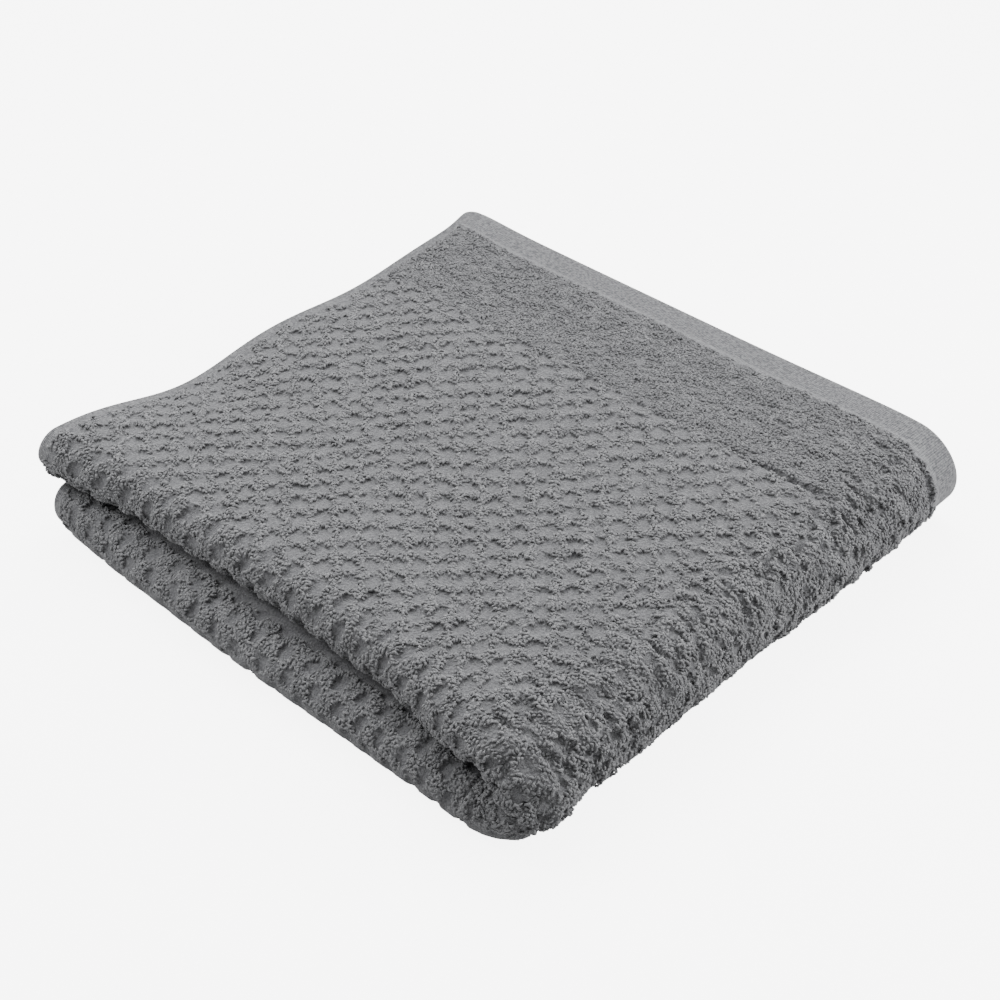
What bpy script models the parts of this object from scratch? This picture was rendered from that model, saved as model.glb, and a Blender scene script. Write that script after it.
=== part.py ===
"""Folded bath towel, 70 by 130 cm, modelled as one sheet of terry cloth.

The sheet is folded twice across its length, which stacks four layers, and that stack is then
folded once along its length, which makes eight.

Frame: +Z up, origin on the floor under the middle of the stack.
    -X  the rolled side, where the outer and the inner cross fold lie
    +X  the side of the hemmed ends
    -Y  the lengthwise fold
    +Y  the open side, where the selvedges meet
"""

import math

import bmesh
import bpy

# Cloth, in metres
CLOTH_WIDTH = 0.700
CLOTH_LENGTH = 1.300
PILE_THICKNESS = 0.0060
HEM_WIDTH = 0.021
HEM_THICKNESS = 0.0026
SELVEDGE_WIDTH = 0.009
SELVEDGE_THICKNESS = 0.0022
EDGE_SLOPE = 0.004
CORNER_RADIUS = 0.010

# Stack
LAYER_GAP = 0.0009
HALF_GAP = 0.0005
INNER_HEM_OVERHANG = -0.002
CROSS_FOLD_OVERHANG = 0.001
LOWER_SETBACK = 0.010
SELVEDGE_CREEP = 0.005

# The small loop left open inside the lengthwise fold, which moves inward beside the rolls
EYE_RADIUS = 0.0036
EYE_FLARE = 0.030
EYE_SETBACK = 0.012
EYE_REACH = 0.090

# How far the rolls' unevenness, and that of the lengthwise fold, reach into the stack
ROLL_REACH = 0.160
FOLD_REACH = 0.060

# The outer hem's rear corner, pulled out past the selvedges below it and sunk a little
CORNER_PULL = 0.0095
CORNER_SINK = 0.0022
CORNER_REACH_ALONG = 0.021
CORNER_REACH_ACROSS = 0.030

# How many steps each stretch of the sheet is drawn with
RUN_STEPS = 10
HEM_STEPS = 2
SMALL_TURN_STEPS = 6
LARGE_TURN_STEPS = 12
SIDE_RUN_STEPS = 9
SIDE_TURN_STEPS = 12

# Heights at which each layer's middle lies above the plane between the two halves
PITCH = PILE_THICKNESS + LAYER_GAP
LAYER_4 = PILE_THICKNESS / 2
LAYER_3 = LAYER_4 + PITCH
LAYER_2 = LAYER_3 + PITCH
LAYER_1 = LAYER_2 + PITCH
HALF_THICKNESS = LAYER_1 + PILE_THICKNESS / 2
MID_HEIGHT = HALF_THICKNESS + HALF_GAP
STACK_HEIGHT = 2 * MID_HEIGHT

# Where the two rolls lie, from the lengthwise fold (0) to the selvedges (1)
ROLL_LINE = (
    # place  upper set back  lower pushed out
    (0.00,   0.0005,         0.0070),
    (0.25,   0.0100,         0.0075),
    (0.50,   0.0120,         0.0085),
    (0.75,   0.0090,         0.0070),
    (1.00,  -0.0017,         0.0038),
)

# Where the lengthwise fold lies, from the rolled side (0) to the hemmed side (1)
FOLD_LINE = (
    # place  pushed out
    (0.00,   0.0000),
    (0.25,  -0.0009),
    (0.50,  -0.0007),
    (0.75,   0.0017),
    (1.00,   0.0000),
)
FOLD_Y = -0.174
FOLD_HALF_LENGTH = 0.170

# Dips in the top of the stack: middle, reach and depth, with a rise as a negative depth
DIPS = (
    # name                  x       y      reach x  reach y  depth
    ("rolled side",        -0.175, -0.040,  0.030,   0.150,  0.0060),
    ("rolled corner",      -0.149,  0.172,  0.055,   0.050, -0.0056),
    ("hemmed corner",       0.160,  0.172,  0.070,   0.030, -0.0038),
    ("lengthwise fold",     0.000, -0.185,  9.000,   0.034,  0.0050),
    ("selvedge, left",     -0.066,  0.178,  0.044,   0.050,  0.0097),
    ("selvedge, right",     0.059,  0.178,  0.044,   0.040,  0.0048),
    ("hemmed side",         0.170, -0.040,  0.020,   0.150,  0.0020),
    ("terry band, rear",    0.105,  0.085,  0.035,   0.040,  0.0025),
    ("terry band, front",   0.115, -0.050,  0.030,   0.040,  0.0030),
)


def smooth_step(value):
    """0 below 0, 1 above 1, and a smooth rise between."""
    t = min(1.0, max(0.0, value))
    return t * t * (3 - 2 * t)


def spread(start, end, steps):
    """Evenly spaced values from start to end, both included."""
    return [start + (end - start) * i / steps for i in range(steps + 1)]


def run(x_start, x_end, height, steps):
    """A flat layer as (x, height, normal x, normal height), the normal on the cloth's face side."""
    facing = 1.0 if x_end > x_start else -1.0
    return [(x, height, 0.0, facing) for x in spread(x_start, x_end, steps)]


def turn(x_centre, height_from, height_to, side, steps):
    """A half-round fold from one layer to another, bulging to -X or +X as side says."""
    middle = (height_from + height_to) / 2
    arm = height_from - middle
    radius = abs(arm)
    facing = math.copysign(1.0, side * arm)
    stations = []
    for angle in spread(0.0, math.pi, steps):
        out_x = side * math.sin(angle)
        out_height = math.copysign(1.0, arm) * math.cos(angle)
        stations.append((
            x_centre + radius * out_x,
            middle + radius * out_height,
            facing * out_x,
            facing * out_height,
        ))
    return stations


def hemmed_run(x_hem, x_roll, height):
    """A layer from its hem to the rolls, with steps of its own across the hem."""
    hem_in = x_hem - HEM_WIDTH
    return run(x_hem, hem_in, height, HEM_STEPS) + run(hem_in - EDGE_SLOPE, x_roll, height, RUN_STEPS)


def reversed_run(stations):
    """A layer walked the other way, which turns the cloth's face over."""
    return [(x, height, nx, -nh) for x, height, nx, nh in reversed(stations)]


def joined(*stretches):
    """Stretches end to end, with the point that two of them share kept once."""
    stations = list(stretches[0])
    for stretch in stretches[1:]:
        stations += stretch[1:]
    return stations


def section_stations():
    """The sheet's middle line across the stack, from the inner hem to the outer one."""
    small = PITCH / 2
    large = (LAYER_1 - LAYER_4) / 2
    turns = math.pi * (2 * small + large)
    fold_setback = CROSS_FOLD_OVERHANG - small - PILE_THICKNESS / 2
    spare = INNER_HEM_OVERHANG + 2 * fold_setback
    x_roll = 0.0
    x_hem = (CLOTH_LENGTH - turns - spare) / 4
    x_fold = x_hem + fold_setback
    return joined(
        hemmed_run(x_hem + INNER_HEM_OVERHANG, x_roll, LAYER_2),
        turn(x_roll, LAYER_2, LAYER_3, -1, SMALL_TURN_STEPS),
        run(x_roll, x_fold, LAYER_3, RUN_STEPS),
        turn(x_fold, LAYER_3, LAYER_4, 1, SMALL_TURN_STEPS),
        run(x_fold, x_roll, LAYER_4, RUN_STEPS),
        turn(x_roll, LAYER_4, LAYER_1, -1, LARGE_TURN_STEPS),
        reversed_run(hemmed_run(x_hem, x_roll, LAYER_1)),
    )


def side_stations():
    """The way round the lengthwise fold, as (y, angle): 0 on the upper half, pi on the lower."""
    squeeze = (MID_HEIGHT - EYE_RADIUS) / HALF_THICKNESS
    outer_radius = EYE_RADIUS + squeeze * LAYER_1
    upper_run = (CLOTH_WIDTH - math.pi * outer_radius + LOWER_SETBACK) / 2
    lower_run = upper_run - LOWER_SETBACK
    stations = []
    for length, angle in ((upper_run, 0.0), (lower_run, math.pi)):
        pile_edge = length - SELVEDGE_WIDTH
        places = [length, pile_edge] + spread(pile_edge - EDGE_SLOPE, 0.0, SIDE_RUN_STEPS)
        stations.append([(y, angle) for y in places])
    upper, lower = stations
    bend = [(0.0, angle) for angle in spread(0.0, math.pi, SIDE_TURN_STEPS)[1:-1]]
    return upper + bend + lower[::-1]


def length_along(stations):
    """Distance from the first station to each one, along the sheet."""
    total = [0.0]
    for first, second in zip(stations, stations[1:]):
        total.append(total[-1] + math.dist(first[:2], second[:2]))
    return total


def cloth_thickness(from_hem, from_selvedge):
    """Full in the pile, less in the hems and in the selvedges."""
    thickness = PILE_THICKNESS
    for distance, width, flat in (
        (from_hem, HEM_WIDTH, HEM_THICKNESS),
        (from_selvedge, SELVEDGE_WIDTH, SELVEDGE_THICKNESS),
    ):
        pile = smooth_step((distance - width) / EDGE_SLOPE)
        thickness = min(thickness, flat + (PILE_THICKNESS - flat) * pile)
    return thickness


def fold_over(x, y, height, angle):
    """Where a point of a half lies (y and z), once the stack is folded lengthwise."""
    opening = HALF_GAP + (EYE_RADIUS - HALF_GAP) * smooth_step(1 - y / EYE_FLARE)
    radius = opening + height * (MID_HEIGHT - opening) / HALF_THICKNESS
    setback = EYE_SETBACK * smooth_step(1 - x / EYE_REACH)
    stretch = 1 + setback / MID_HEIGHT
    inward = setback * smooth_step(1 - y / EYE_REACH)
    return y + inward - stretch * radius * math.sin(angle), MID_HEIGHT + radius * math.cos(angle)


def on_line(line, share):
    """What a table of places gives for a place between its rows."""
    for (start, *before), (end, *after) in zip(line, line[1:]):
        if share <= end:
            break
    t = smooth_step((share - start) / (end - start))
    return [a + (b - a) * t for a, b in zip(before, after)]


def roll_shift(share, angle):
    """How far the rolls lie from a straight line there, to +X."""
    upper_back, lower_out = on_line(ROLL_LINE, share)
    return upper_back - (upper_back + lower_out) * smooth_step(angle / math.pi)


def fold_push(x, y):
    """How far the lengthwise fold lies from a straight line there, to -Y."""
    share = (x + FOLD_HALF_LENGTH) / (2 * FOLD_HALF_LENGTH)
    pushed, = on_line(FOLD_LINE, min(1.0, max(0.0, share)))
    return pushed * smooth_step(1 - (y - FOLD_Y) / FOLD_REACH)


def corner_inset(from_hem, from_selvedge):
    """How far a point lies in from a square corner, along the cloth and across it."""
    in_along = max(0.0, CORNER_RADIUS - from_hem)
    in_across = max(0.0, CORNER_RADIUS - from_selvedge)
    if in_along == 0.0 or in_across == 0.0:
        return 0.0, 0.0
    share = 1 - max(in_along, in_across) / math.hypot(in_along, in_across)
    return in_along * share, in_across * share


def corner_pull(from_outer_hem, from_upper_selvedge):
    """How much of the rear corner's pull reaches a point, from 0 to 1."""
    far_along = (from_outer_hem / CORNER_REACH_ALONG) ** 2
    far_across = (from_upper_selvedge / CORNER_REACH_ACROSS) ** 2
    return math.exp(-far_along - far_across)


def top_drop(x, y):
    """How far the top of the stack has sunk at a place."""
    total = 0.0
    for _, x_dip, y_dip, reach_x, reach_y, depth in DIPS:
        far = ((x - x_dip) / reach_x) ** 2 + ((y - y_dip) / reach_y) ** 2
        total += depth * math.exp(-far)
    return total


def settle(x, y, z, pull):
    """The rear corner pulled out, the fold uneven, and the height pressed down at the dips."""
    y_at = y - fold_push(x, y) + CORNER_PULL * pull
    return x, y_at, (z - CORNER_SINK * pull) * (1 - top_drop(x, y_at) / STACK_HEIGHT)


def centred(points):
    """The points with the middle of their box over the origin and the lowest on the floor."""
    middle_x = (min(p[0] for p in points) + max(p[0] for p in points)) / 2
    middle_y = (min(p[1] for p in points) + max(p[1] for p in points)) / 2
    floor = min(p[2] for p in points)
    return [(x - middle_x, y - middle_y, z - floor) for x, y, z in points]


def sheet_points():
    """Both faces of the folded sheet, station by station, and the two counts of stations."""
    section = section_stations()
    sides = side_stations()
    along = length_along(section)
    open_edge = sides[0][0]
    ends = {0.0: open_edge, math.pi: sides[-1][0]}
    points = []
    pulls = []
    for face in (1, -1):
        for (x, height, normal_x, normal_height), distance in zip(section, along):
            from_hem = min(distance, along[-1] - distance)
            creep = SELVEDGE_CREEP * (1 - height / LAYER_1)
            shift = smooth_step(1 - x / ROLL_REACH)
            for y, angle in sides:
                from_selvedge = ends.get(angle, CLOTH_WIDTH) - y
                out = face * cloth_thickness(from_hem, from_selvedge) / 2
                inset_along, inset_across = corner_inset(from_hem, from_selvedge)
                x_at = x + out * normal_x - inset_along
                crept = (y - inset_across) * (1 + creep / open_edge)
                y_at, z_at = fold_over(x_at, crept, height + out * normal_height, angle)
                points.append((x_at + shift * roll_shift(y / open_edge, angle), y_at, z_at))
                upper = angle == 0.0
                pulls.append(corner_pull(along[-1] - distance, from_selvedge) if upper else 0.0)
    settled = [settle(*point, pull) for point, pull in zip(centred(points), pulls)]
    return centred(settled), len(section), len(sides)


def sheet_mesh(name):
    """The sheet as one closed mesh: its two faces and its four edges."""
    points, rows, columns = sheet_points()
    mesh = bpy.data.meshes.new(name)
    bm = bmesh.new()
    verts = [bm.verts.new(point) for point in points]

    def corner(row, column, back):
        return verts[(back * rows + row) * columns + column]

    for row in range(rows - 1):
        for column in range(columns - 1):
            for back in (0, 1):
                bm.faces.new((
                    corner(row, column, back),
                    corner(row, column + 1, back),
                    corner(row + 1, column + 1, back),
                    corner(row + 1, column, back),
                ))
    for row in range(rows - 1):
        for column in (0, columns - 1):
            first = [corner(row, column, back) for back in (0, 1)]
            second = [corner(row + 1, column, back) for back in (1, 0)]
            bm.faces.new(first + second)
    for column in range(columns - 1):
        for row in (0, rows - 1):
            first = [corner(row, column, back) for back in (0, 1)]
            second = [corner(row, column + 1, back) for back in (1, 0)]
            bm.faces.new(first + second)
    bmesh.ops.recalc_face_normals(bm, faces=bm.faces)
    bmesh.ops.triangulate(bm, faces=bm.faces)
    bm.to_mesh(mesh)
    bm.free()
    mesh.shade_smooth()
    mesh.set_sharp_from_angle(angle=math.radians(50))
    return mesh


def terry_material():
    """Mid grey cotton terry."""
    material = bpy.data.materials.new("grey_terry")
    material.use_nodes = True
    shader = material.node_tree.nodes["Principled BSDF"]
    shader.inputs["Base Color"].default_value = (0.20, 0.20, 0.21, 1.0)
    shader.inputs["Roughness"].default_value = 0.95
    shader.inputs["Metallic"].default_value = 0.0
    return material


def clear_scene():
    """An empty scene to build in."""
    for obj in list(bpy.data.objects):
        bpy.data.objects.remove(obj, do_unlink=True)


def build():
    """The towel, as one object."""
    clear_scene()
    mesh = sheet_mesh("towel")
    mesh.materials.append(terry_material())
    towel = bpy.data.objects.new("towel", mesh)
    bpy.context.scene.collection.objects.link(towel)


build()
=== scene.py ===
import math

import bmesh
import bpy
import numpy as np
from mathutils import Matrix, Vector


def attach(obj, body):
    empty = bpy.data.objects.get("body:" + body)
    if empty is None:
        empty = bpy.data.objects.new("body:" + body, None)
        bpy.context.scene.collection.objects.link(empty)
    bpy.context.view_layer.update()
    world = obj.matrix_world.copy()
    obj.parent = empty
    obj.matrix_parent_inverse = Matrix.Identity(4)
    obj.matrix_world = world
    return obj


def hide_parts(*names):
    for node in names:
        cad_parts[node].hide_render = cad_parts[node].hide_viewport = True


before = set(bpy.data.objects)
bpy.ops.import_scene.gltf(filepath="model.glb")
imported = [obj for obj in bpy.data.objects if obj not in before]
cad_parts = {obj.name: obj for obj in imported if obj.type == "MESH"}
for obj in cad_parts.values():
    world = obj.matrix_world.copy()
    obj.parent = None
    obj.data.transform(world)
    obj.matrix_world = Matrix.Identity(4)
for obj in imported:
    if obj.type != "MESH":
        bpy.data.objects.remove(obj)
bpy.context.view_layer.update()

# The cloth, and how it is folded and stacked
cloth = {
    "width": 0.700,
    "length": 1.300,
    "pileThickness": 0.0060,
    "hemWidth": 0.021,
    "hemThickness": 0.0026,
    "selvedgeWidth": 0.009,
    "selvedgeThickness": 0.0022,
    "edgeSlope": 0.004,
    "cornerRadius": 0.007,
}

stack = {
    "layerGap": 0.0009,
    "halfGap": 0.0005,
    "innerHemOverhang": -0.002,
    "crossFoldOverhang": 0.001,
    "lowerSetback": 0.010,
    "selvedgeCreep": 0.005,
    "eyeRadius": 0.0036,
    "eyeFlare": 0.030,
    "eyeSetback": 0.012,
    "eyeReach": 0.090,
    "rollReach": 0.160,
    "foldReach": 0.060,
    "foldY": -0.174,
    "foldHalfLength": 0.170,
    "cornerPull": 0.0095,
    "cornerSink": 0.0022,
    "cornerReachAlong": 0.021,
    "cornerReachAcross": 0.030,
}

# place along the roll, upper roll set back, lower roll pushed out
rollLine = (
    (0.00, 0.0005, 0.0070),
    (0.25, 0.0100, 0.0075),
    (0.50, 0.0120, 0.0085),
    (0.75, 0.0090, 0.0070),
    (1.00, -0.0017, 0.0038),
)

# place along the lengthwise fold, pushed out
foldLine = (
    (0.00, 0.0000),
    (0.25, -0.0009),
    (0.50, -0.0007),
    (0.75, 0.0017),
    (1.00, 0.0000),
)

# x, y, reach in x, reach in y, depth
dips = (
    (-0.175, -0.040, 0.030, 0.150, 0.0060),
    (-0.149, 0.172, 0.055, 0.050, -0.0056),
    (0.160, 0.172, 0.070, 0.030, -0.0038),
    (0.000, -0.185, 9.000, 0.034, 0.0050),
    (-0.066, 0.178, 0.044, 0.050, 0.0097),
    (0.059, 0.178, 0.044, 0.040, 0.0048),
    (0.170, -0.040, 0.020, 0.150, 0.0020),
    (0.105, 0.085, 0.035, 0.040, 0.0025),
    (0.115, -0.050, 0.030, 0.040, 0.0030),
)

# steps of the mesh, in metres or as counts
grid = {
    "stepAlong": 0.0018,
    "stepAcross": 0.0020,
    "creaseRows": (1.2044, 1.2160, 0.0010),
    "innerStepAlong": 0.022,
    "innerStepAcross": 0.020,
    "nearTurn": 0.030,
    "turnSteps": 14,
    "crossFoldSteps": 10,
    "outerBefore": 0.012,
    "fineAfter": 0.003,
    "middleRows": 500,
    "middleColumns": 300,
}

pitch = cloth["pileThickness"] + stack["layerGap"]
layerHeights = [cloth["pileThickness"] / 2 + pitch * i for i in (3, 2, 1, 0)]
halfThickness = layerHeights[0] + cloth["pileThickness"] / 2
midHeight = halfThickness + stack["halfGap"]
squeeze = (midHeight - stack["eyeRadius"]) / halfThickness
outerRadius = stack["eyeRadius"] + squeeze * layerHeights[0]
upperRun = (cloth["width"] - math.pi * outerRadius + stack["lowerSetback"]) / 2
turnLength = math.pi * outerRadius


def smoothStep(value):
    t = np.clip(value, 0.0, 1.0)
    return t * t * (3 - 2 * t)


def foldStretches():
    top, second, third, lowest = layerHeights
    small, large = pitch / 2, (top - lowest) / 2
    foldSetback = stack["crossFoldOverhang"] - small - cloth["pileThickness"] / 2
    spare = stack["innerHemOverhang"] + 2 * foldSetback
    xHem = (cloth["length"] - math.pi * (2 * small + large) - spare) / 4
    xFold = xHem + foldSetback
    return (
        ("run", xHem + stack["innerHemOverhang"], 0.0, second),
        ("turn", 0.0, second, third, -1),
        ("run", 0.0, xFold, third),
        ("turn", xFold, third, lowest, 1),
        ("run", xFold, 0.0, lowest),
        ("turn", 0.0, lowest, top, -1),
        ("run", 0.0, xHem, top),
    )


def stretchLength(stretch):
    if stretch[0] == "run":
        return abs(stretch[2] - stretch[1])
    return math.pi * abs(stretch[2] - stretch[3]) / 2


def stretchStarts():
    starts = [0.0]
    for stretch in foldStretches():
        starts.append(starts[-1] + stretchLength(stretch))
    return starts


def onSection(along):
    x, height, normalX, normalHeight = (np.zeros_like(along) for _ in range(4))
    for start, stretch in zip(stretchStarts(), foldStretches()):
        here = along >= start - 1e-9
        part = along[here] - start
        if stretch[0] == "run":
            _, xFrom, xTo, level = stretch
            facing = math.copysign(1.0, xTo - xFrom)
            x[here], height[here] = xFrom + facing * part, level
            normalX[here], normalHeight[here] = 0.0, facing
        else:
            _, xCentre, heightFrom, heightTo, side = stretch
            arm = (heightFrom - heightTo) / 2
            radius, over = abs(arm), math.copysign(1.0, arm)
            angle = np.minimum(part / radius, math.pi)
            outX, outHeight = side * np.sin(angle), over * np.cos(angle)
            x[here] = xCentre + radius * outX
            height[here] = (heightFrom + heightTo) / 2 + radius * outHeight
            normalX[here], normalHeight[here] = side * over * outX, side * over * outHeight
    return x, height, normalX, normalHeight


def onSide(across):
    angle = np.clip((across - upperRun) / outerRadius, 0.0, math.pi)
    y = np.where(across < upperRun, upperRun - across, np.maximum(0.0, across - upperRun - turnLength))
    return y, angle


def foldOver(x, y, height, angle):
    flare = smoothStep(1 - y / stack["eyeFlare"])
    opening = stack["halfGap"] + (stack["eyeRadius"] - stack["halfGap"]) * flare
    radius = opening + height * (midHeight - opening) / halfThickness
    setback = stack["eyeSetback"] * smoothStep(1 - x / stack["eyeReach"])
    stretch = 1 + setback / midHeight
    inward = setback * smoothStep(1 - y / stack["eyeReach"])
    return y + inward - stretch * radius * np.sin(angle), midHeight + radius * np.cos(angle)


def onLine(line, column, share):
    result = np.full_like(share, line[0][column])
    for before, after in zip(line, line[1:]):
        t = smoothStep((share - before[0]) / (after[0] - before[0]))
        between = before[column] + (after[column] - before[column]) * t
        result = np.where(share >= before[0], between, result)
    return result


def rollShift(share, angle):
    upper, lower = onLine(rollLine, 1, share), onLine(rollLine, 2, share)
    return upper - (upper + lower) * smoothStep(angle / math.pi)


def foldPush(x, y):
    share = np.clip((x / stack["foldHalfLength"] + 1) / 2, 0.0, 1.0)
    return onLine(foldLine, 1, share) * smoothStep(1 - (y - stack["foldY"]) / stack["foldReach"])


def foldedPlace(along, across, offset):
    x, height, normalX, normalHeight = onSection(along)
    y, angle = onSide(across)
    creep = stack["selvedgeCreep"] * (1 - height / layerHeights[0])
    xAt = x + offset * normalX
    yAt, zAt = foldOver(xAt, y * (1 + creep / upperRun), height + offset * normalHeight, angle)
    shift = smoothStep(1 - x / stack["rollReach"])
    return np.stack((xAt + shift * rollShift(y / upperRun, angle), yAt, zAt), axis=-1)


def thicknessAt(along, across):
    thickness = np.full_like(along, cloth["pileThickness"])
    fromHem = np.minimum(along, cloth["length"] - along)
    fromSelvedge = np.minimum(across, cloth["width"] - across)
    for distance, kind in ((fromHem, "hem"), (fromSelvedge, "selvedge")):
        flat = cloth[kind + "Thickness"]
        pile = smoothStep((distance - cloth[kind + "Width"]) / cloth["edgeSlope"])
        thickness = np.minimum(thickness, flat + (cloth["pileThickness"] - flat) * pile)
    return thickness


def halfThicknessAt(along, across):
    return thicknessAt(along, across) / 2


def gridOf(alongValues, acrossValues):
    return np.meshgrid(alongValues, acrossValues, indexing="ij")


def roundedCorner(along, across):
    reach = cloth["cornerRadius"]
    inAlong = np.maximum(0, along - (cloth["length"] - reach)) - np.maximum(0, reach - along)
    inAcross = np.maximum(0, across - (cloth["width"] - reach)) - np.maximum(0, reach - across)
    size = np.hypot(inAlong, inAcross)
    share = np.maximum(np.abs(inAlong), np.abs(inAcross)) / np.maximum(size, 1e-9)
    share = np.where(size > 0, share, 1.0)
    return along + inAlong * (share - 1), across + inAcross * (share - 1)


def middleOf(placed):
    alongValues = np.linspace(0, cloth["length"], grid["middleRows"])
    acrossValues = np.linspace(0, cloth["width"], grid["middleColumns"])
    along, across = gridOf(alongValues, acrossValues)
    half = halfThicknessAt(along, across)
    points = np.concatenate([placed(along, across, face * half) for face in (1, -1)]).reshape(-1, 3)
    low, high = points.min(axis=0), points.max(axis=0)
    return np.array(((low[0] + high[0]) / 2, (low[1] + high[1]) / 2, low[2]))


def squarePlace(along, across, offset):
    return foldedPlace(*roundedCorner(along, across), offset)


foldMiddle = middleOf(squarePlace)


def settledPlace(along, across, offset):
    points = squarePlace(along, across, offset) - foldMiddle
    farAlong = (cloth["length"] - along) / stack["cornerReachAlong"]
    farAcross = across / stack["cornerReachAcross"]
    pull = np.exp(-(farAlong**2) - farAcross**2)
    points[..., 1] += stack["cornerPull"] * pull - foldPush(points[..., 0], points[..., 1])
    points[..., 2] -= stack["cornerSink"] * pull
    drop = sum(
        depth * np.exp(-(((points[..., 0] - x) / reachX) ** 2) - ((points[..., 1] - y) / reachY) ** 2)
        for x, y, reachX, reachY, depth in dips
    )
    points[..., 2] *= 1 - drop / (2 * midHeight)
    return points


settledMiddle = middleOf(settledPlace)


def placeOf(along, across, offset):
    return settledPlace(along, across, offset) - settledMiddle


starts = stretchStarts()
innerFoldStart, innerFoldEnd = starts[3], starts[4]
rollStart, topStart = starts[5], starts[6]
outerStart = rollStart - grid["outerBefore"]
hemStart = cloth["length"] - cloth["hemWidth"]
selvedgeStart = cloth["width"] - cloth["selvedgeWidth"]

# The pile, woven in raised cells and smooth ones. It opens round the lengthwise fold and on the roll.
pile = {
    "groundHalf": 0.0011,
    "moundHalf": 0.0022,
    "moundOverLow": 0.0007,
    "cellAlong": 0.0093,
    "cellAcross": 0.0083,
    "firstAlong": 1.2060,
    "firstAcross": 0.0100,
    "cellShare": 0.18,
    "cellSlope": 0.26,
    "openedDepth": 0.0006,
    "openedCells": 0.62,
    "openedClumps": 1.1,
    "rollCells": 0.20,
    "rollDepth": 0.0003,
    "rollAfter": 0.006,
    "rollSlope": 0.012,
    "creviceDepth": 0.0027,
    "creviceLength": 0.45,
    "creviceFrom": 0.42,
    "creviceSlope": 0.30,
    "rim": 0.0006,
    "hemBead": 0.0008,
    "beadOutside": 0.0010,
    "beadWidth": 0.0011,
    "selvedgeBead": 0.3,
    "selvedgePile": 0.0035,
    "pileSlope": 0.0012,
    "plainBandEnd": 1.2120,
    "bandSlant": 0.0090,
    "bandSlope": 0.0015,
    # start and reach of each fade: across the cloth, in height, then inwards from the edges
    "openedTurn": (-0.025, 0.035),
    "openedEnd": (0.30, 0.03),
    "under": (0.0025, 0.0055),
    "low": (0.0025, 0.0090),
    "rimFrom": (0.0020, 0.0030),
    "rimTo": (0.0080, 0.0050),
    "uneven": (0.0050, 0.0110),
    "edge": (0.0, 0.0100),
    "strip": (0.0, 0.0010),
    "stripColour": (0.0, 0.0015),
}

# depth, size and seed
unevenness = {
    "driftAlong": (0.0030, 0.050, 3),
    "driftAcross": (0.0030, 0.050, 4),
    "raggedAlong": (0.0010, 0.0040, 5),
    "raggedAcross": (0.0010, 0.0040, 6),
    "raggedEdge": (0.0008, 0.0030, 7),
    "fine": (0.00045, 0.0040, 8),
    "broad": (0.00045, 0.0140, 9),
    "smallClumps": (0.00050, 0.0055, 12),
    "largeClumps": (0.00050, 0.0090, 13),
    "longCrevices": (1.0, 0.0036, 14),
    "shortCrevices": (1.0, 0.0045, 15),
    "loopTone": (0.5, 0.0032, 21),
    "bandTone": (0.40, 0.0090, 22),
    "loopClumps": (0.0006, 0.0026, 23),
}

# along, across, reach along, reach across, depth (a rise is negative)
creases = (
    (1.2108, 0.299, 0.0013, 0.030, 0.0042),
    (1.2050, 0.080, 0.0020, 0.060, 0.0010),
    (1.2460, 0.268, 0.0018, 0.007, 0.0020),
    (1.2370, 0.288, 0.0120, 0.008, -0.0009),
    (1.2430, 0.174, 0.0100, 0.010, 0.0010),
    (1.2220, 0.070, 0.0120, 0.022, 0.0008),
    (1.2550, 0.220, 0.0030, 0.016, 0.0009),
    (1.2650, 0.120, 0.0060, 0.030, -0.0005),
    (1.2300, 0.225, 0.0040, 0.020, -0.0006),
    (0.9830, 0.3505, 0.0055, 0.0065, 0.0046),
    (0.9765, 0.3390, 0.0030, 0.0030, 0.0024),
)


def softNoise(u, v, size, seed):
    cells = 97
    values = np.random.default_rng(seed).random((cells, cells)) * 2 - 1
    u, v = u / size + 1000.0, v / size + 1000.0  # the shift keeps the places positive
    iu, iv = np.floor(u).astype(int), np.floor(v).astype(int)
    fu, fv = smoothStep(u - iu), smoothStep(v - iv)

    def corner(du, dv):
        return values[(iu + du) % cells, (iv + dv) % cells]

    low = corner(0, 0) * (1 - fu) + corner(1, 0) * fu
    high = corner(0, 1) * (1 - fu) + corner(1, 1) * fu
    return low * (1 - fv) + high * fv


def wobble(kind, along, across):
    depth, size, seed = unevenness[kind]
    return depth * softNoise(along, across, size, seed)


def faded(kind, value):
    start, reach = pile[kind]
    return smoothStep((value - start) / reach)


def cellWave(along, across):
    rowAt = along + wobble("driftAlong", along, across) + wobble("raggedAlong", along, across)
    columnAt = across + wobble("driftAcross", along, across) + wobble("raggedAcross", along, across)
    rowTurn = np.cos(math.pi * (rowAt - pile["firstAlong"]) / pile["cellAlong"])
    columnTurn = np.cos(math.pi * (columnAt - pile["firstAcross"]) / pile["cellAcross"])
    return rowTurn * columnTurn


def insideEdges(along, across):
    fromHem = np.minimum(along, cloth["length"] - along) - cloth["hemWidth"]
    fromSelvedge = np.minimum(across, cloth["width"] - across) - cloth["selvedgeWidth"]
    return fromHem, fromSelvedge


def pileEdge(along, across):
    fromHem, fromSelvedge = insideEdges(along, across)
    return np.minimum(fromHem, fromSelvedge + pile["selvedgePile"])


def plainAt(along, across):
    bandLine = pile["plainBandEnd"] - pile["bandSlant"] * across / cloth["width"]
    return smoothStep((along - bandLine) / pile["bandSlope"])


def openedAt(across):
    return faded("openedTurn", across - upperRun) * faded("openedEnd", cloth["width"] - across)


def rolledAt(along, across):
    return smoothStep((topStart + pile["rollAfter"] - along) / pile["rollSlope"]) * (1 - openedAt(across))


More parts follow.
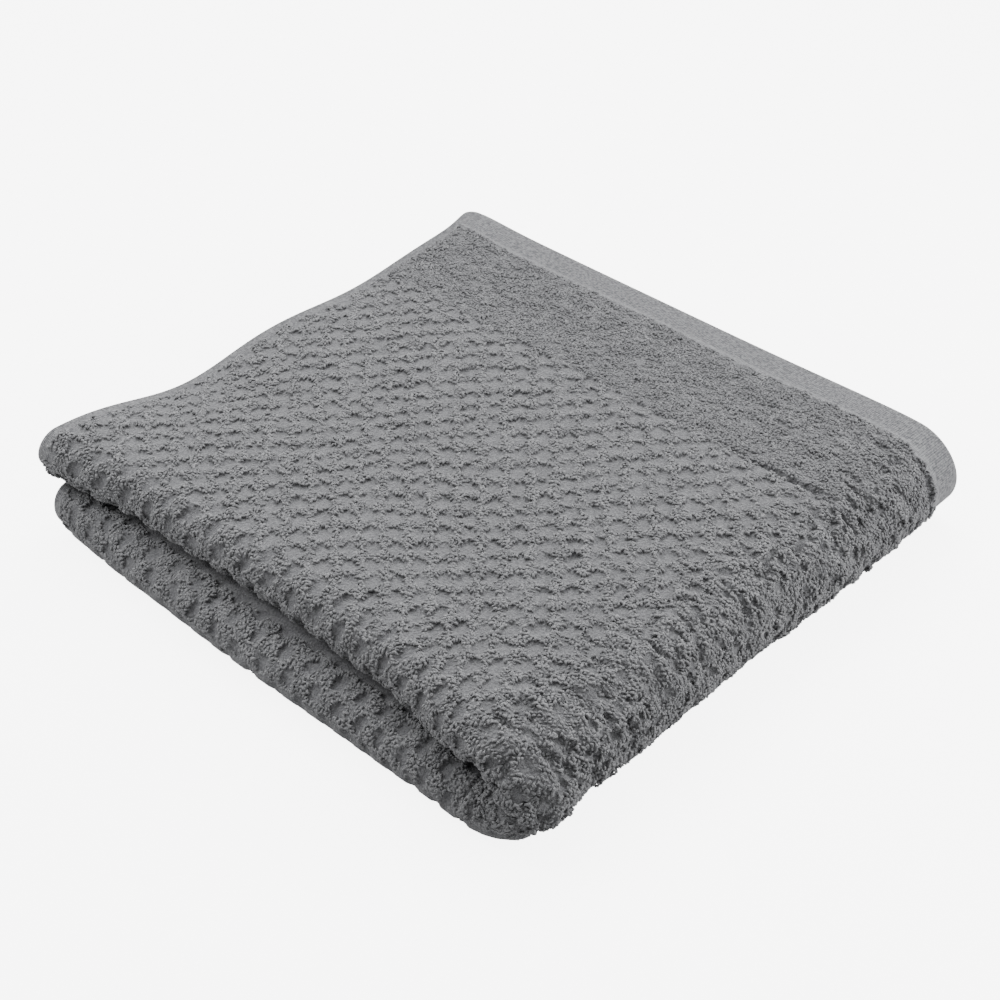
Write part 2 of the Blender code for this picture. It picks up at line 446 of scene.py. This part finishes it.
def raisedAt(along, across):
    share = pile["cellShare"] + pile["openedCells"] * openedAt(across)
    share += pile["rollCells"] * rolledAt(along, across)
    cells = smoothStep((cellWave(along, across) + share) / pile["cellSlope"])
    edge = pileEdge(along, across) + wobble("raggedEdge", along, across)
    return np.maximum(cells, plainAt(along, across)) * smoothStep(edge / pile["pileSlope"])


def heightAt(along, across):
    return placeOf(along, across, halfThicknessAt(along, across))[..., 2]


def creaseAt(along, across):
    drop = np.zeros_like(along)
    for alongAt, acrossAt, reachAlong, reachAcross, depth in creases:
        away = ((along - alongAt) / reachAlong) ** 2 + ((across - acrossAt) / reachAcross) ** 2
        drop += depth * np.exp(-away)
    return drop


def crevicesAt(along, across):
    long = wobble("longCrevices", along, across * pile["creviceLength"])
    short = wobble("shortCrevices", along, across)
    deep = smoothStep((np.maximum(long, short) - pile["creviceFrom"]) / pile["creviceSlope"])
    return deep * openedAt(across)


def unevenAt(along, across):
    opened = openedAt(across)
    clumps = wobble("smallClumps", along, across) + wobble("largeClumps", along, across)
    clumps = clumps * (np.maximum(plainAt(along, across), opened) + pile["openedClumps"] * opened)
    uneven = wobble("fine", along, across) + wobble("broad", along, across) + clumps
    return uneven - creaseAt(along, across) - pile["creviceDepth"] * crevicesAt(along, across)


def beadAt(along, across):
    fromHem, fromSelvedge = insideEdges(along, across)
    besideHem = fromHem < fromSelvedge + pile["selvedgePile"]
    bulge = np.exp(-(((pileEdge(along, across) + pile["beadOutside"]) / pile["beadWidth"]) ** 2))
    return bulge * np.where(besideHem, 1.0, pile["selvedgeBead"])


def outerHalf(along, across):
    height = heightAt(along, across)
    fromEdges = np.minimum(*insideEdges(along, across))
    rolled = rolledAt(along, across)
    under, low = 1 - faded("under", height), 1 - faded("low", height)
    strip, edge = 1 - faded("strip", fromEdges), 1 - faded("edge", fromEdges)
    top = pile["moundHalf"] + (cloth["pileThickness"] / 2 - pile["moundHalf"]) * under
    top = top + pile["rollDepth"] * rolled * (1 - under)
    ground = pile["groundHalf"] - pile["openedDepth"] * openedAt(across) - pile["rollDepth"] * rolled
    ground = ground + (cloth["selvedgeThickness"] / 2 - ground) * edge
    ground = ground + (top - pile["moundOverLow"] - ground) * low
    flat = np.minimum(halfThicknessAt(along, across), cloth["hemThickness"] / 2)
    bead = pile["hemBead"] * beadAt(along, across)
    ground = ground + (flat + bead - ground) * strip
    rim = pile["rim"] * faded("rimFrom", height) * (1 - faded("rimTo", height))
    uneven = unevenAt(along, across) * faded("uneven", height)
    return ground + (top - ground + uneven) * raisedAt(along, across) + rim * (1 - strip)


def spread(marks, step):
    values = [marks[0]]
    for low, high in zip(marks, marks[1:]):
        count = max(1, math.ceil((high - low) / step - 1e-6))
        values.extend(low + (high - low) * (i + 1) / count for i in range(count))
    return np.array(values)


def edgeMarks(total, width):
    near = [0.0] + [width + cloth["edgeSlope"] * i / 4 for i in range(5)]
    return near, [total - value for value in reversed(near)]


def coarseAcross():
    near, far = edgeMarks(cloth["width"], cloth["selvedgeWidth"])
    turn = [upperRun + turnLength * i / grid["turnSteps"] for i in range(grid["turnSteps"] + 1)]
    step, reach = grid["innerStepAcross"], grid["nearTurn"]
    before = list(spread([near[-1], upperRun - reach, upperRun], step)[1:-1])
    after = list(spread([turn[-1], turn[-1] + reach, far[0]], step)[1:-1])
    return np.array(near + before + turn + after + far)


def coarseAlong(until):
    near, far = edgeMarks(cloth["length"], cloth["hemWidth"])
    marks = list(near)
    for start, end, stretch in zip(starts, starts[1:], foldStretches()):
        step = grid["innerStepAlong"] if stretch[0] == "run" else (end - start) / grid["crossFoldSteps"]
        marks.extend(spread([max(start, near[-1]), min(end, far[0])], step)[1:])
    marks = [mark for mark in marks if mark < until - 1e-6]
    return np.array(marks + ([until] if until < cloth["length"] else far))


def fineAcross():
    turnEnd = upperRun + turnLength
    marks = [0.0, cloth["selvedgeWidth"], upperRun, turnEnd, selvedgeStart, cloth["width"]]
    return spread(marks, grid["stepAcross"])


def fineAlong():
    marks = [outerStart + grid["fineAfter"], topStart, hemStart, cloth["length"]]
    return np.union1d(spread(marks, grid["stepAlong"]), np.arange(*grid["creaseRows"]))


def indicesOf(first, rows, columns):
    return first + np.arange(rows * columns).reshape(rows, columns)


def quadsOf(index):
    a, b, c, d = index[:-1, :-1], index[1:, :-1], index[1:, 1:], index[:-1, 1:]
    return np.stack((a, b, c, d), axis=-1).reshape(-1, 4)


def zipped(firstValues, firstIndex, secondValues, secondIndex):
    triangles, i, j = [], 0, 0
    while i < len(firstIndex) - 1 or j < len(secondIndex) - 1:
        nextFirst = firstValues[i + 1] if i + 1 < len(firstIndex) else math.inf
        nextSecond = secondValues[j + 1] if j + 1 < len(secondIndex) else math.inf
        if nextFirst <= nextSecond:
            triangles.append((firstIndex[i], firstIndex[i + 1], secondIndex[j]))
            i += 1
        else:
            triangles.append((firstIndex[i], secondIndex[j + 1], secondIndex[j]))
            j += 1
    return triangles


def clothFaces(rows, columns, indices):
    inner, hidden, fine = indices
    coarseColumns, fineColumns = columns
    outerRows = np.concatenate(rows[1:])
    faces = [tuple(quad) for index in indices for quad in quadsOf(index).tolist()]
    faces += zipped(coarseColumns, hidden[-1], fineColumns, fine[0])
    faces += zipped(coarseColumns, inner[-1], fineColumns, fine[-1])
    faces += zipped(coarseColumns, inner[0], coarseColumns, hidden[0])
    for side in (0, -1):
        outerIndex = np.concatenate((hidden[:, side], fine[:, side]))
        faces += zipped(rows[0], inner[:, side], outerRows, outerIndex)
    return [tuple(int(i) for i in face) for face in faces]


def marksOn(along, across):
    strip = 1 - faded("stripColour", np.minimum(*insideEdges(along, across)))
    # painted shade: the smooth ground cells on the roll, where shade falls between the raised cells, are
    # marked to be coloured darker
    paintedShade = rolledAt(along, across) * (1 - raisedAt(along, across)) * (1 - strip)
    return np.stack((along, across, strip, beadAt(along, across), paintedShade), axis=-1).reshape(-1, 5)


def closedMesh(name, points, faces):
    mesh = bpy.data.meshes.new(name)
    mesh.from_pydata(points, [], faces)
    shape = bmesh.new()
    shape.from_mesh(mesh)
    bmesh.ops.recalc_face_normals(shape, faces=shape.faces)
    shape.to_mesh(mesh)
    shape.free()
    mesh.shade_smooth()
    return mesh


def clothMesh():
    rows = coarseAlong(cloth["length"]), coarseAlong(outerStart), fineAlong()
    columns = coarseAcross(), fineAcross()
    points, marks, indices, first = [], [], [], 0
    for rowPlaces, columnPlaces, face, halfOf in (
        (rows[0], columns[0], -1, halfThicknessAt),
        (rows[1], columns[0], 1, halfThicknessAt),
        (rows[2], columns[1], 1, outerHalf),
    ):
        along, across = gridOf(rowPlaces, columnPlaces)
        points.append(placeOf(along, across, face * halfOf(along, across)).reshape(-1, 3))
        marks.append(marksOn(along, across))
        indices.append(indicesOf(first, len(rowPlaces), len(columnPlaces)))
        first += along.size
    points, marks = np.concatenate(points), np.concatenate(marks)
    mesh = closedMesh("towelCloth", points.tolist(), clothFaces(rows, columns, indices))
    for column, name in ((2, "strip"), (3, "bead"), (4, "paintedShade")):
        layer = mesh.attributes.new(name, "FLOAT", "POINT")
        layer.data.foreach_set("value", marks[:, column].astype(np.float32))
    corners = np.empty(len(mesh.loops), dtype=np.int32)
    mesh.loops.foreach_get("vertex_index", corners)
    uvMap = mesh.uv_layers.new(name="cloth")
    uvMap.data.foreach_set("uv", marks[corners][:, :2].astype(np.float32).ravel())
    return mesh


def linked(name, data):
    piece = bpy.data.objects.new(name, data)
    bpy.context.scene.collection.objects.link(piece)
    return piece


towelCloth = linked("towelCloth", clothMesh())


# Yarn colours, and how the cotton looks up close
yarn = {
    "light": (0.205, 0.206, 0.212),
    "dark": (0.125, 0.126, 0.131),
    "flat": (0.153, 0.154, 0.159),
    "twill": (0.166, 0.167, 0.172),
    "twillDark": (0.070, 0.071, 0.076),
    "grain": (0.104, 0.105, 0.110),
    "bead": (0.210, 0.211, 0.217),
}

cotton = {
    "specular": 0.15,
    "sheen": 0.10,
    "sheenRoughness": 0.5,
    "groundRoughness": 0.95,
    "loopRoughness": 0.9,
    "contrast": 3.3,
    "groundFibres": 850.0,
    "twillFibres": 640.0,
    "loopFibres": 1800.0,
    "groundHeight": 3.5,
    "groundBump": 0.0003,
    "loopBump": 0.0004,
    "share": 0.5,
    # how far the painted shade darkens the ground on the roll
    "paintedShadeShare": -0.3,
    "beadShare": 0.7,
}

hemWeave = {
    "ribs": 0.0012,
    "picks": 0.0010,
    "pickShare": 0.5,
    "contrast": 0.22,
    "share": 0.52,
    "height": 0.30,
}


def newMaterial(name, roughness, sheen):
    material = bpy.data.materials.new(name)
    material.use_nodes = True
    nodes = material.node_tree.nodes
    shader = next(node for node in nodes if node.type == "BSDF_PRINCIPLED")
    shader.inputs["Roughness"].default_value = roughness
    shader.inputs["Specular IOR Level"].default_value = cotton["specular"]
    shader.inputs["Sheen Weight"].default_value = sheen
    shader.inputs["Sheen Roughness"].default_value = cotton["sheenRoughness"]
    return material, nodes, material.node_tree.links, shader


def mathNode(nodes, links, operation, *values):
    node = nodes.new("ShaderNodeMath")
    node.operation = operation
    for socket, value in zip(node.inputs, values):
        if isinstance(value, (int, float)):
            socket.default_value = value
        else:
            links.new(value, socket)
    return node.outputs[0]


def mixed(nodes, links, kind, share, first, second):
    sockets = {"RGBA": (0, 6, 7, 2), "FLOAT": (0, 2, 3, 0)}[kind]
    mix = nodes.new("ShaderNodeMix")
    mix.data_type = kind
    for socket, value in zip(sockets, (share, first, second)):
        if isinstance(value, tuple):
            mix.inputs[socket].default_value = value
        else:
            links.new(value, mix.inputs[socket])
    return mix.outputs[sockets[3]]


def cottonFuzz():
    tree = bpy.data.node_groups.new("cottonFuzz", "ShaderNodeTree")
    face = tree.interface
    for name, kind, value in (
        ("Scale", "NodeSocketFloat", cotton["groundFibres"]),
        ("Share", "NodeSocketFloat", cotton["share"]),
        ("Dark", "NodeSocketColor", (*yarn["dark"], 1)),
        ("Light", "NodeSocketColor", (*yarn["light"], 1)),
    ):
        face.new_socket(name, in_out="INPUT", socket_type=kind).default_value = value
    face.new_socket("Colour", in_out="OUTPUT", socket_type="NodeSocketColor")
    face.new_socket("Height", in_out="OUTPUT", socket_type="NodeSocketFloat")
    nodes, links = tree.nodes, tree.links
    given, result = nodes.new("NodeGroupInput"), nodes.new("NodeGroupOutput")
    place = nodes.new("ShaderNodeTexCoord")
    fibres = nodes.new("ShaderNodeTexNoise")
    fibres.inputs["Detail"].default_value = 2.0
    links.new(place.outputs["Object"], fibres.inputs["Vector"])
    links.new(given.outputs["Scale"], fibres.inputs["Scale"])
    contrast = cotton["contrast"]
    spot = mathNode(nodes, links, "MULTIPLY_ADD", fibres.outputs["Fac"], contrast, -contrast / 2)
    share = mathNode(nodes, links, "ADD", spot, given.outputs["Share"])
    share.node.use_clamp = True
    colour = mixed(nodes, links, "RGBA", share, given.outputs["Dark"], given.outputs["Light"])
    links.new(colour, result.inputs["Colour"])
    links.new(fibres.outputs["Fac"], result.inputs["Height"])
    return tree


def fuzzIn(nodes, fuzz, scale, dark, light):
    group = nodes.new("ShaderNodeGroup")
    group.node_tree = fuzz
    group.inputs["Scale"].default_value = scale
    group.inputs["Dark"].default_value = (*yarn[dark], 1)
    group.inputs["Light"].default_value = (*yarn[light], 1)
    return group


def bumpOf(nodes, links, height, distance, shader):
    bump = nodes.new("ShaderNodeBump")
    bump.inputs["Strength"].default_value = 1.0
    bump.inputs["Distance"].default_value = distance
    links.new(height, bump.inputs["Height"])
    links.new(bump.outputs[0], shader.inputs["Normal"])


def attributeOf(nodes, name):
    node = nodes.new("ShaderNodeAttribute")
    node.attribute_name = name
    return node.outputs["Fac"]


def waveOf(nodes, links, place, period):
    turn = mathNode(nodes, links, "MULTIPLY", place, 2 * math.pi / period)
    return mathNode(nodes, links, "SINE", turn)


def hemWeaveIn(nodes, links):
    place = nodes.new("ShaderNodeUVMap")
    place.uv_map = "cloth"
    split = nodes.new("ShaderNodeSeparateXYZ")
    links.new(place.outputs["UV"], split.inputs[0])
    ribs = waveOf(nodes, links, split.outputs["Y"], hemWeave["ribs"])
    picks = waveOf(nodes, links, split.outputs["X"], hemWeave["picks"])
    fainterPicks = mathNode(nodes, links, "MULTIPLY", picks, hemWeave["pickShare"])
    return mathNode(nodes, links, "ADD", ribs, fainterPicks)


def clothMaterial(fuzz):
    material, nodes, links, shader = newMaterial("terryGround", cotton["groundRoughness"], cotton["sheen"])
    strip, bead, paintedShade = [attributeOf(nodes, name) for name in ("strip", "bead", "paintedShade")]
    weave = hemWeaveIn(nodes, links)
    ground = fuzzIn(nodes, fuzz, cotton["groundFibres"], "grain", "flat")
    # painted shade: the ground colour is darkened where the roll's recessed cells lie in shade
    groundShare = mathNode(nodes, links, "MULTIPLY_ADD", paintedShade, cotton["paintedShadeShare"], cotton["share"])
    links.new(groundShare, ground.inputs["Share"])
    twill = fuzzIn(nodes, fuzz, cotton["twillFibres"], "twillDark", "twill")
    twillShare = mathNode(nodes, links, "MULTIPLY_ADD", weave, hemWeave["contrast"], hemWeave["share"])
    links.new(twillShare, twill.inputs["Share"])
    groundHeight = mathNode(nodes, links, "MULTIPLY", ground.outputs["Height"], cotton["groundHeight"])
    weaveHeight = mathNode(nodes, links, "MULTIPLY", weave, hemWeave["height"])
    height = mixed(nodes, links, "FLOAT", strip, groundHeight, weaveHeight)
    bumpOf(nodes, links, height, cotton["groundBump"], shader)
    woven = mixed(nodes, links, "RGBA", strip, ground.outputs["Colour"], twill.outputs["Colour"])
    beadShare = mathNode(nodes, links, "MULTIPLY", bead, cotton["beadShare"])
    colour = mixed(nodes, links, "RGBA", beadShare, woven, (*yarn["bead"], 1))
    links.new(colour, shader.inputs["Base Color"])
    return material


def loopMaterial(fuzz):
    material, nodes, links, shader = newMaterial("terryLoops", cotton["loopRoughness"], cotton["sheen"])
    curl = fuzzIn(nodes, fuzz, cotton["loopFibres"], "dark", "light")
    links.new(attributeOf(nodes, "tone"), curl.inputs["Share"])
    bumpOf(nodes, links, curl.outputs["Height"], cotton["loopBump"], shader)
    links.new(curl.outputs["Colour"], shader.inputs["Base Color"])
    return material


cottonFibres = cottonFuzz()
terryGround = clothMaterial(cottonFibres)
terryLoops = loopMaterial(cottonFibres)
towelCloth.data.materials.append(terryGround)


# The loops of yarn that stand on the raised cells and on the plain band
loops = {
    "spacing": 0.00145,
    "jitter": 0.8,
    "halfSpan": 0.00155,
    "crown": 0.45,
    "rise": 0.0010,
    "radius": 0.00068,
    "root": 0.0009,
    "sides": 4,
    "lean": 0.65,
    "smallest": 0.65,
    "largest": 1.25,
    "perPiece": 11500,
    # where they stand
    "pastPile": 0.002,
    "outerAfter": 0.006,
    "foldBeyond": 0.004,
    "raisedOver": 0.52,
    "lowest": 0.0076,
    "freeReach": 0.0090,
    "creaseUnder": 0.0009,
    "openedOver": 0.6,
    "sunk": 0.0010,
    "baseDepth": 0.0001,
    "outwardProbe": 0.0009,
    # their share of light yarn, and what takes from it, with painted shade in crevices and creases
    "tone": 0.5,
    "toneSpread": 0.5,
    "bandDarker": 0.46,
    "paintedCreviceShade": 0.4,
    "paintedCreaseShade": 0.7,
    "creaseReach": 0.0030,
}


def loopShape():
    span, rise, radius, sides = loops["halfSpan"], loops["rise"], loops["radius"], loops["sides"]
    points = [(-span, 0, -loops["root"])]
    for x in (-loops["crown"] * span, loops["crown"] * span):
        for i in range(sides):
            angle = math.radians(45 + 360 * i / sides)
            points.append((x, radius * math.cos(angle), rise - radius + radius * math.sin(angle)))
    points.append((span, 0, -loops["root"]))
    last = len(points) - 1
    around = [(1 + i, 1 + (i + 1) % sides) for i in range(sides)]
    faces = [(0, b, a) for a, b in around]
    faces += [(a, b, b + sides, a + sides) for a, b in around]
    faces += [(last, a + sides, b + sides) for a, b in around]
    return closedMesh("terryLoop", points, faces)


def toneAt(along, across, random):
    tone = loops["tone"] + wobble("loopTone", along, across)
    tone += loops["toneSpread"] * (random.random(len(along)) - 0.5)
    tone += plainAt(along, across) * (wobble("bandTone", along, across) - loops["bandDarker"])
    creased = smoothStep(creaseAt(along, across) / loops["creaseReach"])
    # painted shade: loops deep in crevices and creases are coloured darker where shade falls
    tone -= loops["paintedCreviceShade"] * crevicesAt(along, across) + loops["paintedCreaseShade"] * creased
    return np.clip(tone, 0, 1)


def loopPlaces():
    random = np.random.default_rng(11)
    step, past = loops["spacing"], loops["pastPile"]
    columns = np.arange(cloth["selvedgeWidth"] - past, selvedgeStart + past, step)
    found = []
    for first, last, halfOf in (
        (outerStart + loops["outerAfter"], hemStart, outerHalf),
        (innerFoldStart - loops["foldBeyond"], innerFoldEnd + loops["foldBeyond"], halfThicknessAt),
    ):
        rows = np.arange(first, last, step)
        along, across = gridOf(rows, columns)
        across = across + (np.arange(len(rows)) % 2)[:, None] * step / 2
        along = (along + (random.random(along.shape) - 0.5) * step * loops["jitter"]).ravel()
        across = (across + (random.random(across.shape) - 0.5) * step * loops["jitter"]).ravel()
        keep = raisedAt(along, across) > loops["raisedOver"]
        keep &= heightAt(along, across) > loops["lowest"]
        uncreased = creaseAt(along, across) < loops["creaseUnder"]
        keep &= uncreased | (openedAt(across) > loops["openedOver"])
        along, across = along[keep], across[keep]
        free = smoothStep((heightAt(along, across) - loops["lowest"]) / loops["freeReach"])
        half = halfOf(along, across) + wobble("loopClumps", along, across) * free
        half -= loops["sunk"] * (1 - free)
        base = placeOf(along, across, half - loops["baseDepth"])
        outward = placeOf(along, across, half + loops["outwardProbe"]) - base
        outward /= np.linalg.norm(outward, axis=1)[:, None]
        found.append(np.column_stack((base, outward, toneAt(along, across, random), across)))
    found = np.concatenate(found)
    found = found[np.argsort(found[:, 7], kind="stable")]
    return found[:, 0:3], found[:, 3:6], found[:, 6]


def randomBetween(nodes, links, kind, low, high, seed):
    node = nodes.new("FunctionNodeRandomValue")
    node.data_type = kind
    ends = [socket for socket in node.inputs if socket.name in ("Min", "Max") and socket.enabled]
    for socket, value in zip(ends, (low, high)):
        links.new(value, socket)
    links.new(seed, node.inputs["Seed"])
    return next(socket for socket in node.outputs if socket.enabled)


def leanedTurn(nodes, links, lean, seed):
    outward = nodes.new("GeometryNodeInputNamedAttribute")
    outward.data_type = "FLOAT_VECTOR"
    outward.inputs["Name"].default_value = "outward"
    aim = nodes.new("FunctionNodeAlignRotationToVector")
    aim.axis = "Z"
    links.new(outward.outputs["Attribute"], aim.inputs["Vector"])
    most = nodes.new("ShaderNodeCombineXYZ")
    links.new(lean, most.inputs["X"])
    links.new(lean, most.inputs["Y"])
    most.inputs["Z"].default_value = math.pi
    least = nodes.new("ShaderNodeVectorMath")
    least.operation = "SCALE"
    least.inputs["Scale"].default_value = -1.0
    links.new(most.outputs[0], least.inputs[0])
    turn = nodes.new("FunctionNodeEulerToRotation")
    angles = randomBetween(nodes, links, "FLOAT_VECTOR", least.outputs[0], most.outputs[0], seed)
    links.new(angles, turn.inputs[0])
    turned = nodes.new("FunctionNodeRotateRotation")
    turned.rotation_space = "LOCAL"
    links.new(aim.outputs[0], turned.inputs[0])
    links.new(turn.outputs[0], turned.inputs[1])
    return turned.outputs[0]


def loopTree():
    tree = bpy.data.node_groups.new("placedLoops", "GeometryNodeTree")
    face = tree.interface
    face.new_socket("Places", in_out="INPUT", socket_type="NodeSocketGeometry")
    face.new_socket("Loop", in_out="INPUT", socket_type="NodeSocketObject")
    face.new_socket("Material", in_out="INPUT", socket_type="NodeSocketMaterial")
    for name, value in (
        ("Lean", loops["lean"]),
        ("Smallest", loops["smallest"]),
        ("Largest", loops["largest"]),
    ):
        face.new_socket(name, in_out="INPUT", socket_type="NodeSocketFloat").default_value = value
    face.new_socket("Seed", in_out="INPUT", socket_type="NodeSocketInt").default_value = 1
    face.new_socket("Loops", in_out="OUTPUT", socket_type="NodeSocketGeometry")
    nodes, links = tree.nodes, tree.links
    given = nodes.new("NodeGroupInput")
    result = nodes.new("NodeGroupOutput")
    seed = given.outputs["Seed"]
    put = nodes.new("GeometryNodeInstanceOnPoints")
    shape = nodes.new("GeometryNodeObjectInfo")
    links.new(given.outputs["Loop"], shape.inputs["Object"])
    links.new(given.outputs["Places"], put.inputs["Points"])
    links.new(shape.outputs["Geometry"], put.inputs["Instance"])
    links.new(leanedTurn(nodes, links, given.outputs["Lean"], seed), put.inputs["Rotation"])
    size = randomBetween(nodes, links, "FLOAT", given.outputs["Smallest"], given.outputs["Largest"], seed)
    links.new(size, put.inputs["Scale"])
    real = nodes.new("GeometryNodeRealizeInstances")
    links.new(put.outputs[0], real.inputs[0])
    coat = nodes.new("GeometryNodeSetMaterial")
    links.new(real.outputs[0], coat.inputs["Geometry"])
    links.new(given.outputs["Material"], coat.inputs["Material"])
    links.new(coat.outputs[0], result.inputs[0])
    return tree


def socketOf(tree, name):
    sockets = (item for item in tree.interface.items_tree if item.in_out == "INPUT")
    return next(socket.identifier for socket in sockets if socket.name == name)


def placesMesh(base, outward, tone):
    mesh = bpy.data.meshes.new("loopPlaces")
    mesh.from_pydata(base.tolist(), [], [])
    layer = mesh.attributes.new("outward", "FLOAT_VECTOR", "POINT")
    layer.data.foreach_set("vector", outward.astype(np.float32).ravel())
    layer = mesh.attributes.new("tone", "FLOAT", "POINT")
    layer.data.foreach_set("value", tone.astype(np.float32))
    return mesh


def loopPieces():
    base, outward, tone = loopPlaces()
    tree = loopTree()
    shape = linked("terryLoop", loopShape())
    count = math.ceil(len(base) / loops["perPiece"])
    pieces = []
    for number, chosen in enumerate(np.array_split(np.arange(len(base)), count), start=1):
        places = linked("loopPlaces", placesMesh(base[chosen], outward[chosen], tone[chosen]))
        modifier = places.modifiers.new("placedLoops", "NODES")
        modifier.node_group = tree
        for name, value in (
            ("Loop", shape),
            ("Material", terryLoops),
            ("Lean", loops["lean"]),
            ("Smallest", loops["smallest"]),
            ("Largest", loops["largest"]),
            ("Seed", number),
        ):
            modifier[socketOf(tree, name)] = value
        ready = places.evaluated_get(bpy.context.evaluated_depsgraph_get())
        pieces.append(linked(f"terryLoops{number}", bpy.data.meshes.new_from_object(ready)))
        bpy.data.objects.remove(places)
    bpy.data.objects.remove(shape)
    return pieces


terryPieces = loopPieces()
for piece in terryPieces:
    triangles = sum(len(face.vertices) - 2 for face in piece.data.polygons)
    print(piece.name, len(piece.data.vertices), "points", triangles, "triangles")

for piece in [towelCloth, *terryPieces]:
    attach(piece, "root")
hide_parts("towel")

# The room: a pale floor, and lights as x, y, z, power and size
studio = {
    "floor": 0.66,
    "floorHalf": 6.0,
    "floorRoughness": 0.9,
    "floorGlow": 6.0,
    "world": 0.39,
    "worldGlow": 7.0,
    "key": (0.57, 0.61, 1.10, 28.0, 1.0),
    "fill": (0.1, 0.1, 2.0, 21.0, 2.0),
    "side": (-0.43, 0.45, 0.62, 5.5, 0.4),
    "right": (0.56, -0.68, 0.34, 11.6, 0.5),
}

# The photo's view: degrees and metres, with the lens and the picture in pixels
view = {
    "focal": 1800.82,
    "elevation": 37.231,
    "azimuth": -46.713,
    "distance": 0.93351,
    "centre": (-0.0002, -0.0010, 0.02938),
    "centreShows": (494.79, 480.10),
    "picture": 1000.0,
    "sensor": 36.0,
    "nearest": 0.05,
}


def addFloor():
    half = studio["floorHalf"]
    mesh = bpy.data.meshes.new("floor")
    corners = [(-half, -half, 0), (half, -half, 0), (half, half, 0), (-half, half, 0)]
    mesh.from_pydata(corners, [], [(0, 1, 2, 3)])
    floor = linked("floor", mesh)
    material, nodes, links, shader = newMaterial("floor", studio["floorRoughness"], 0.0)
    shader.inputs["Base Color"].default_value = (studio["floor"],) * 3 + (1,)
    shader.inputs["Emission Color"].default_value = (1, 1, 1, 1)
    seen = nodes.new("ShaderNodeLightPath").outputs["Is Camera Ray"]
    glow = mathNode(nodes, links, "MULTIPLY", seen, studio["floorGlow"])
    links.new(glow, shader.inputs["Emission Strength"])
    mesh.materials.append(material)


def addLight(name, x, y, z, power, size):
    data = bpy.data.lights.new(name, "AREA")
    data.energy = power
    data.size = size
    light = linked(name, data)
    light.location = (x, y, z)
    light.rotation_euler = Vector((-x, -y, -z)).to_track_quat("-Z", "Y").to_euler()


def addWorld():
    world = bpy.data.worlds.new("room")
    bpy.context.scene.world = world
    world.use_nodes = True
    nodes, links = world.node_tree.nodes, world.node_tree.links
    backdrop = next(node for node in nodes if node.type == "BACKGROUND")
    backdrop.inputs["Color"].default_value = (1, 1, 1, 1)
    seen = nodes.new("ShaderNodeLightPath").outputs["Is Camera Ray"]
    glow = studio["worldGlow"] - studio["world"]
    strength = mathNode(nodes, links, "MULTIPLY_ADD", seen, glow, studio["world"])
    links.new(strength, backdrop.inputs["Strength"])


def addCamera():
    elevation, azimuth = math.radians(view["elevation"]), math.radians(view["azimuth"])
    back = Vector((
        math.sin(azimuth) * math.cos(elevation),
        -math.cos(azimuth) * math.cos(elevation),
        math.sin(elevation),
    ))
    right = Vector((0, 0, 1)).cross(back).normalized()
    up = back.cross(right)
    # turned a little, so that the stack's centre shows beside the middle of the picture
    turn, nod = (math.atan((pixel - view["picture"] / 2) / view["focal"]) for pixel in view["centreShows"])
    sideways = right * math.cos(turn) - back * math.sin(turn)
    ahead = right * math.sin(turn) + back * math.cos(turn)
    upward = up * math.cos(nod) + ahead * math.sin(nod)
    away = -up * math.sin(nod) + ahead * math.cos(nod)
    data = bpy.data.cameras.new("camera")
    data.sensor_width = view["sensor"]
    data.lens = view["focal"] * view["sensor"] / view["picture"]
    data.clip_start = view["nearest"]
    camera = linked("camera", data)
    turned = Matrix((sideways, upward, away)).transposed()
    place = Vector(view["centre"]) + back * view["distance"]
    camera.matrix_world = Matrix.Translation(place) @ turned.to_4x4()
    bpy.context.scene.camera = camera


addFloor()
for lamp in ("key", "fill", "side", "right"):
    addLight(lamp, *studio[lamp])
addCamera()
addWorld()
print("room ready")
